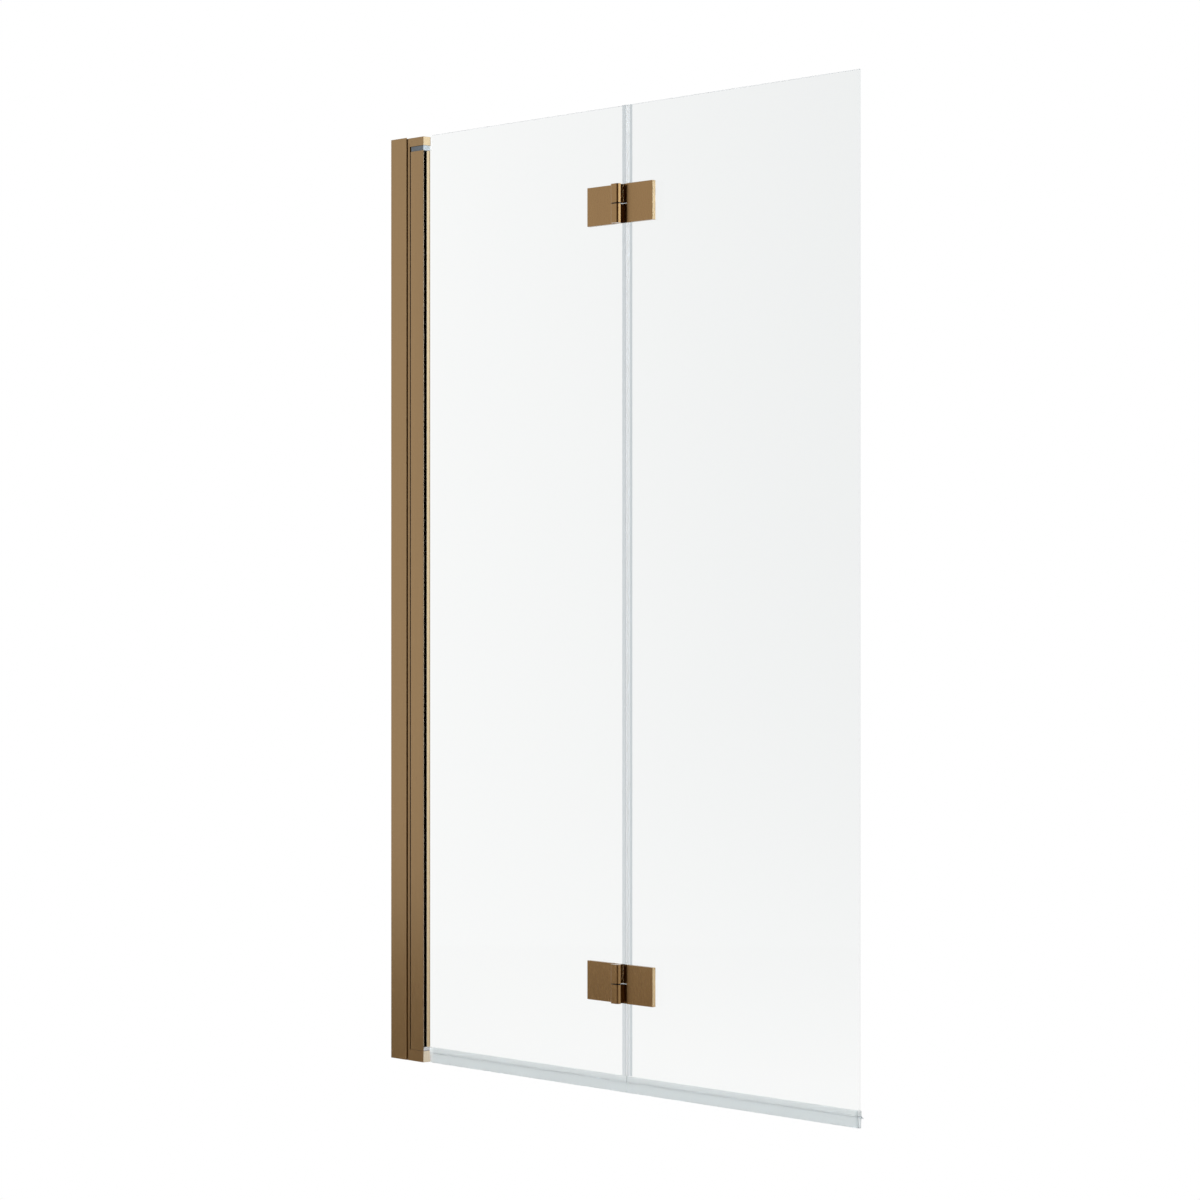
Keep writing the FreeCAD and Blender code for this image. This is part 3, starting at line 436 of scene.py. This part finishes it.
RELIEF = 0.01 * MM
EVEN = (1.0, 1.0, 1.0)
LACQUERED = {"relief": RELIEF, "Metallic": 1.0, "Coat_Weight": 0.5, "Coat_Roughness": 0.25}
# The cap foot tint paints light on the bottom cap's side.
# The lip side tint paints shade on the side of the glazing lip and in its slot.
bronze_profile = finish_of(
    "brushed bronze, drawn lengthwise", BRUSHED,
    {"Lines": 1400.0, "Drift": 60.0, "Middle": 0.3, "Spread": 0.12},
    (1.0, 1.0, 0.02), linear(135, 106, 66), linear(154, 122, 77),
    tints=[(CAP_SIDE_LIGHT, linear(158, 134, 100)), (LIP_SIDE_SHADE, linear(112, 88, 55))], **LACQUERED)
# The knuckle split tint paints shade on the hinge knuckles where they meet.
bronze_hinge = finish_of(
    "brushed bronze, hinge leaves", BRUSHED,
    {"Lines": 1600.0, "Drift": 90.0, "Middle": 0.28, "Spread": 0.12},
    (1.0, 1.0, 0.04), linear(133, 101, 58), linear(152, 117, 70),
    tints=[(KNUCKLE_SPLIT_SHADE, linear(30, 21, 11))], **LACQUERED)
steel = finish_of(
    "turned stainless", BRUSHED, {"Lines": 1500.0, "Drift": 200.0, "Middle": 0.3, "Spread": 0.15},
    (1.0, 1.0, 0.3), linear(178, 180, 182), linear(205, 206, 208), RELIEF, Metallic=1.0)
# The rising tint paints shade on the panes, darker towards the free edge and upwards.
clear_glass = finish_of(
    "clear toughened glass", MOULDED,
    {"Pits": 300.0, "Clouds": 3.0, "Middle": 0.004, "Spread": 0.004},
    (1.0, 1.0, 0.4), linear(247, 248, 248), linear(249, 250, 249), 0.0,
    [(GROUND, linear(254, 255, 255)), (PANE_END, linear(246, 246, 244)),
     (RISING_PANE_SHADE, linear(234, 236, 236))], (GROUND, 0.55), Transmission_Weight=1.0, IOR=1.15)
# The seal end tint paints shade on the end face of each bottom seal.
# The seal mouth tint paints shade into the open mouth at the end of each bottom seal.
clear_seal = finish_of(
    "milky clear strip", MOULDED, {"Pits": 900.0, "Clouds": 40.0, "Middle": 0.42, "Spread": 0.1},
    EVEN, linear(249, 252, 252), linear(252, 254, 254), RELIEF,
    [(SKIRT, linear(243, 246, 246)), (SEAL_MOUTH_SHADE, linear(229, 233, 233)),
     (SEAL_END_SHADE, linear(160, 165, 165))], Transmission_Weight=0.85, IOR=1.12)
clear_pad = finish_of(
    "clear hinge pad", MOULDED, {"Pits": 1200.0, "Clouds": 60.0, "Middle": 0.5, "Spread": 0.1},
    EVEN, linear(200, 198, 192), linear(214, 212, 206), RELIEF, Alpha=0.15)
# The clip leg tint paints shade on the legs of the fold strips' clips.
# The height share paints shade on the fold strips, darker towards the bottom.
fold_strip = finish_of(
    "clear fold strip", MOULDED, {"Pits": 900.0, "Clouds": 40.0, "Middle": 0.3, "Spread": 0.1},
    (1.0, 1.0, 0.2), linear(254, 255, 255), linear(255, 255, 255), 0.0,
    [(FOLD_STRIP_LOW_SHADE, linear(245, 246, 246)), (CLIP_LEG_SHADE, linear(213, 218, 221))],
    Transmission_Weight=0.96, IOR=1.04)
# The bush front tint paints shade on each bush's front face.
# The low bush tint paints shade on the lower bush, browner than the upper one.
grey_bush = finish_of(
    "moulded pale grey bush", MOULDED,
    {"Pits": 2500.0, "Clouds": 120.0, "Middle": 0.5, "Spread": 0.12},
    EVEN, linear(200, 205, 203), linear(210, 215, 212), RELIEF,
    [(LOW_BUSH_SHADE, linear(194, 188, 181)), (BUSH_FRONT_SHADE, linear(168, 177, 185))], Specular_IOR_Level=0.1)
black_gasket = finish_of(
    "black glazing gasket", MOULDED,
    {"Pits": 3000.0, "Clouds": 150.0, "Middle": 0.85, "Spread": 0.1},
    (1.0, 1.0, 0.05), linear(4, 3, 3), linear(9, 7, 7), RELIEF, Specular_IOR_Level=0.0)
black_nylon = finish_of(
    "black nylon washer", MOULDED, {"Pits": 2500.0, "Clouds": 200.0, "Middle": 0.6, "Spread": 0.1},
    EVEN, linear(14, 13, 12), linear(22, 20, 19), RELIEF)
white_nylon = finish_of(
    "white nylon", MOULDED, {"Pits": 2500.0, "Clouds": 200.0, "Middle": 0.45, "Spread": 0.1},
    EVEN, linear(222, 222, 218), linear(238, 238, 234), RELIEF)

FINISHES = {"bronze_profile": bronze_profile, "bronze_hinge": bronze_hinge, "clear_glass": clear_glass,
            "clear_seal": clear_seal, "grey_bush": grey_bush, "black_gasket": black_gasket,
            "black_nylon": black_nylon, "white_nylon": white_nylon, "steel": steel}
for part in frame["record"]["subparts"]:
    mesh = nodes[part["node"]].data
    mesh.materials.clear()
    mesh.materials.append(FINISHES[part["material_slot"]])


# Clear strips, in place of the plain soft solids.

# Wall thickness and soft corners of the strips, their clearance from a pane, the sloped lips and
# lead-ins of their legs, and the bulb between the panes.
SEAL_SKIN, SEAL_ROUND, SEAL_CLEAR = 0.8 * MM, 0.35 * MM, 0.1 * MM
LEG_LIP, LEG_LEAD, BULB = 1.2 * MM, 0.9 * MM, 1.2 * MM
# The curled drip fin: millimetres from the back of the strip and from the underside of its web.
FIN = ((-1.2, -1.4), (0.0, -2.6), (-0.6, -3.0), (-1.8, -2.0))
GASKET_ROUND, TAPE_ROUND = 0.5 * MM, 0.15 * MM
PAD_SKIN, PAD_HOLE, PAD_ROUND = 0.02 * MM, 3.1 * MM, 2.0 * MM
# Rows of points along each kind of strip, and points round a bolt hole and on a pad's corner.
LEVEL_ROWS, UPRIGHT_ROWS, GLAZING_ROWS, PAD_ROWS = 25, 41, 21, 3
HOLE_POINTS, PAD_STEPS = 32, 8


def dress_bottom_seal(side):
    """Clip with lipped legs, a hollow tapering skirt and a curled drip fin on the bath side."""
    low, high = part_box(f"{side}_bottom_seal")
    pane_low, pane_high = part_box(f"{side}_glass")
    leg_front, leg_back = low.y + SEAL_SKIN, pane_high.y + SEAL_CLEAR
    back = leg_back + SEAL_SKIN
    floor_top = pane_low.z - SEAL_CLEAR
    floor = floor_top - SEAL_SKIN
    waist = 0.5 * (floor + low.z)
    outline = rounded([
        (low.y, high.z), (low.y + 0.6 * SEAL_SKIN, high.z), (leg_front, high.z - LEG_LIP),
        (leg_front, floor_top), (leg_back, floor_top), (leg_back, high.z - LEG_LIP),
        (back - 0.6 * SEAL_SKIN, high.z), (back, high.z), (back, floor_top),
        *[(high.y + across * MM, floor + down * MM) for across, down in FIN],
        (back, floor - SEAL_SKIN), (leg_back + 0.2 * SEAL_SKIN, waist), (leg_back, low.z),
        (leg_front, low.z), (leg_front - 0.6 * SEAL_SKIN, waist), (low.y, floor)], SEAL_ROUND)
    hollow = rounded([
        (leg_front, floor), (leg_back, floor), (leg_back - SEAL_SKIN, low.z + SEAL_SKIN),
        (leg_front + SEAL_SKIN, low.z + SEAL_SKIN)], SEAL_ROUND)
    stations = np.linspace(low.x, high.x, LEVEL_ROWS)
    dress(f"{side}_drip_strip", strip_arrays(outline, "X", stations, hollow), f"{side}_panel",
          clear_seal, f"{side}_bottom_seal")


def clip_section(heel, toe, front, back, bulb):
    """Section of an upright clip: legs from the heel, a web near the toe, and a soft bulb past it."""
    way = 1.0 if toe > heel else -1.0
    root = toe - way * bulb
    web, lead = root - way * SEAL_SKIN, heel + way * LEG_LEAD
    middle, nose = 0.5 * (front + back), 0.22 * (back - front)
    inner_front, inner_back = front + SEAL_SKIN, back - SEAL_SKIN
    section = [(heel, front), (root, front)]
    if bulb:
        section += [(root, middle - nose), (toe, middle - 0.6 * nose), (toe, middle + 0.6 * nose),
                    (root, middle + nose)]
    section += [(root, back), (heel, back), (lead, inner_back), (web, inner_back),
                (web, inner_front), (lead, inner_front)]
    return rounded(section, SEAL_ROUND)


def dress_inner_fold_seal():
    """Bulb clip on the inner pane's fold edge."""
    low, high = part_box("inner_fold_seal")
    section = clip_section(low.x, high.x, low.y, high.y, BULB)
    stations = np.linspace(low.z, high.z, UPRIGHT_ROWS)
    dress("inner_bulb_strip", strip_arrays(section, "Z", stations), "inner_panel",
          fold_strip, "inner_fold_seal")


def dress_outer_fold_seal():
    """Clip on the outer pane's fold edge."""
    low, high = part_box("outer_fold_seal")
    section = clip_section(high.x, low.x, low.y, high.y, 0.0)
    stations = np.linspace(low.z, high.z, UPRIGHT_ROWS)
    dress("outer_clip_strip", strip_arrays(section, "Z", stations), "outer_panel",
          fold_strip, "outer_fold_seal")


def dress_glazing(name, radius, finish, node):
    """Upright strip with soft edges, in front of the pane in its slot or behind it."""
    low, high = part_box(node)
    section = rounded(corners(low.x, low.y, high.x, high.y), radius)
    stations = np.linspace(low.z, high.z, GLAZING_ROWS)
    dress(name, strip_arrays(section, "Z", stations), "inner_panel", finish, node)


def dress_leaf_pad(hinge, side):
    """Soft-cornered clear pad between a hinge leaf and the pane, with a hole for each bolt."""
    low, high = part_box(f"{hinge}_{side}_pad")
    outline = rounded(corners(low.z, low.x, high.z, high.x), PAD_ROUND, PAD_STEPS)
    bolts_low, bolts_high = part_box(f"{hinge}_{side}_bolts")
    middle, head = 0.5 * (bolts_low.x + bolts_high.x), 0.5 * (bolts_high.x - bolts_low.x)
    ring = PAD_HOLE * circle(HOLE_POINTS)
    holes = [ring + (height, middle) for height in (bolts_low.z + head, bolts_high.z - head)]
    stations = np.linspace(low.y + PAD_SKIN, high.y - PAD_SKIN, PAD_ROWS)
    dress(f"{hinge}_{side}_pad_sheet", strip_arrays(outline, "Y", stations, *holes),
          f"{side}_panel", clear_pad, f"{hinge}_{side}_pad")


for side in SIDES:
    dress_bottom_seal(side)
    for hinge in HINGES:
        dress_leaf_pad(hinge, side)
dress_inner_fold_seal()
dress_outer_fold_seal()
dress_glazing("black_wedge_strip", GASKET_ROUND, black_gasket, "glazing_gasket")
dress_glazing("tape_strip", TAPE_ROUND, clear_seal, "glazing_tape")


# Studio: a pale floor well below the screen, a white surround, soft lamps and brown cards.

FLOOR_DROP, FLOOR_RADIUS, FLOOR_POINTS = 0.57, 2.0, 96
FLOOR = cad_box[0].z - FLOOR_DROP
FLOOR_TONE, FLOOR_ROUGH, FLOOR_WHITE = 0.9, 0.9, 0.85
SURROUND_LIGHT = 0.3
WHITE = (1.0, 1.0, 1.0, 1.0)
# Upright cards: name, the line they stand over from start to end, their top and their colour.
FLAGS = (
    ("low flag", (-2.6, -0.2), (-0.9, -2.0), FLOOR + 0.547, (0.655, 0.54, 0.4)),
    ("tall flag", (-0.6, -4.2), (4.3, -1.3), 2.0, (0.14, 0.055, 0.02)))
# Lamps: name, place, point aimed at, width, height, watts, colour, and whether sheen shows them.
LAMPS = (
    ("side lamp", (4.0, 3.4, 0.75), (0.5, 0.0, 0.3), 2.4, 4.0, 122.0, (0.48, 0.68, 1.0), True),
    ("matt lamp", (4.0, 3.4, 0.75), (0.5, 0.0, 0.3), 2.4, 4.0, 150.0, (1.0, 0.97, 0.9), False),
    ("foot lamp", (4.0, 3.4, -1.45), (0.5, 0.0, -0.7), 2.4, 0.4, 6.0, (0.25, 0.5, 1.0), True),
    ("high lamp", (4.0, 3.4, 1.0), (0.5, 0.0, 0.5), 2.4, 0.6, 13.0, (0.36, 0.55, 1.0), True),
    ("right lamp", (4.6, -0.7, 0.95), (0.5, 0.0, 0.3), 0.9, 2.4, 27.0, (0.75, 0.88, 1.0), True))
CAMERA_PLACE, CAMERA_TURN = (4.38093, -3.40657, -0.00175), math.radians(48.906)
LENS, SENSOR, CLIP_NEAR, CLIP_FAR = 108.797, 36.0, 0.1, 100.0


def seen_directly(tree):
    """1 for camera, glossy and transmission rays, 0 for the rays that carry light."""
    path = tree.nodes.new("ShaderNodeLightPath")
    seen = path.outputs["Is Camera Ray"]
    for label in ("Is Glossy Ray", "Is Transmission Ray"):
        seen = op_in(tree, "MAXIMUM", seen, path.outputs[label])
    return seen


def lay_floor():
    """A pale floor at the height of a bathroom floor, below the bath that the screen stands over."""
    middle = 0.5 * (cad_box[0].x + cad_box[1].x)
    rim = [(middle + x, y, FLOOR) for x, y in FLOOR_RADIUS * circle(FLOOR_POINTS)]
    mesh = bpy.data.meshes.new("floor")
    mesh.from_pydata(rim, [], [list(range(FLOOR_POINTS))])
    floor = bpy.data.objects.new("floor", mesh)
    scene.collection.objects.link(floor)
    material = bpy.data.materials.new("pale floor")
    material.use_nodes = True
    tree = material.node_tree
    shader = tree.nodes["Principled BSDF"]
    shader.inputs["Base Color"].default_value = (FLOOR_TONE, FLOOR_TONE, FLOOR_TONE, 1.0)
    shader.inputs["Roughness"].default_value = FLOOR_ROUGH
    white = tree.nodes.new("ShaderNodeEmission")
    mix = tree.nodes.new("ShaderNodeMixShader")
    tree.links.new(op_in(tree, "MULTIPLY", seen_directly(tree), FLOOR_WHITE), mix.inputs["Fac"])
    tree.links.new(shader.outputs["BSDF"], mix.inputs[1])
    tree.links.new(white.outputs["Emission"], mix.inputs[2])
    tree.links.new(mix.outputs["Shader"], tree.nodes["Material Output"].inputs["Surface"])
    mesh.materials.append(material)


def light_world():
    """White where it is seen, a plain even light elsewhere."""
    world = bpy.data.worlds.new("white studio")
    scene.world = world
    world.use_nodes = True
    tree = world.node_tree
    light = tree.nodes["Background"]
    light.inputs["Color"].default_value = WHITE
    light.inputs["Strength"].default_value = SURROUND_LIGHT
    white = tree.nodes.new("ShaderNodeBackground")
    white.inputs["Color"].default_value = WHITE
    white.inputs["Strength"].default_value = 1.0
    mix = tree.nodes.new("ShaderNodeMixShader")
    tree.links.new(seen_directly(tree), mix.inputs["Fac"])
    tree.links.new(light.outputs["Background"], mix.inputs[1])
    tree.links.new(white.outputs["Background"], mix.inputs[2])
    tree.links.new(mix.outputs["Shader"], tree.nodes["World Output"].inputs["Surface"])


def hang_lamp(name, place, aim, width, height, watts, colour, in_sheen):
    """A soft rectangular lamp that is not seen itself; out of the sheen it lights matt surfaces."""
    data = bpy.data.lights.new(name, "AREA")
    data.shape = "RECTANGLE"
    data.size, data.size_y, data.energy, data.color = width, height, watts, colour
    lamp = bpy.data.objects.new(name, data)
    scene.collection.objects.link(lamp)
    lamp.location = place
    way = np.subtract(aim, place)
    tilt, turn = math.acos(-way[2] / np.linalg.norm(way)), math.atan2(-way[0], way[1])
    lamp.rotation_euler = (tilt, 0.0, turn)
    lamp.visible_camera = False
    lamp.visible_glossy = lamp.visible_transmission = in_sheen


def stand_flag(name, start, end, top, colour):
    """An upright card over a line on the floor. Only reflections show it: the low one deepens the
    bronze towards its foot, the tall one shades rounded corners."""
    mesh = bpy.data.meshes.new(name)
    mesh.from_pydata([(*start, FLOOR), (*end, FLOOR), (*end, top), (*start, top)], [], [(0, 1, 2, 3)])
    flag = bpy.data.objects.new(name, mesh)
    scene.collection.objects.link(flag)
    material = bpy.data.materials.new(name)
    material.use_nodes = True
    shader = material.node_tree.nodes["Principled BSDF"]
    shader.inputs["Base Color"].default_value = (*colour, 1.0)
    shader.inputs["Roughness"].default_value = 1.0
    shader.inputs["Specular IOR Level"].default_value = 0.0
    mesh.materials.append(material)
    flag.visible_camera = flag.visible_diffuse = False
    flag.visible_transmission = flag.visible_shadow = False


def set_camera():
    """Level camera of the photograph: long lens, on the room side towards the free edge."""
    data = bpy.data.cameras.new("camera")
    data.lens, data.sensor_width = LENS, SENSOR
    data.clip_start, data.clip_end = CLIP_NEAR, CLIP_FAR
    camera = bpy.data.objects.new("camera", data)
    scene.collection.objects.link(camera)
    camera.location = CAMERA_PLACE
    camera.rotation_euler = (math.pi / 2, 0.0, CAMERA_TURN)
    scene.camera = camera


lay_floor()
light_world()
for flag in FLAGS:
    stand_flag(*flag)
for lamp in LAMPS:
    hang_lamp(*lamp)
set_camera()
scene.view_settings.view_transform = "Standard"
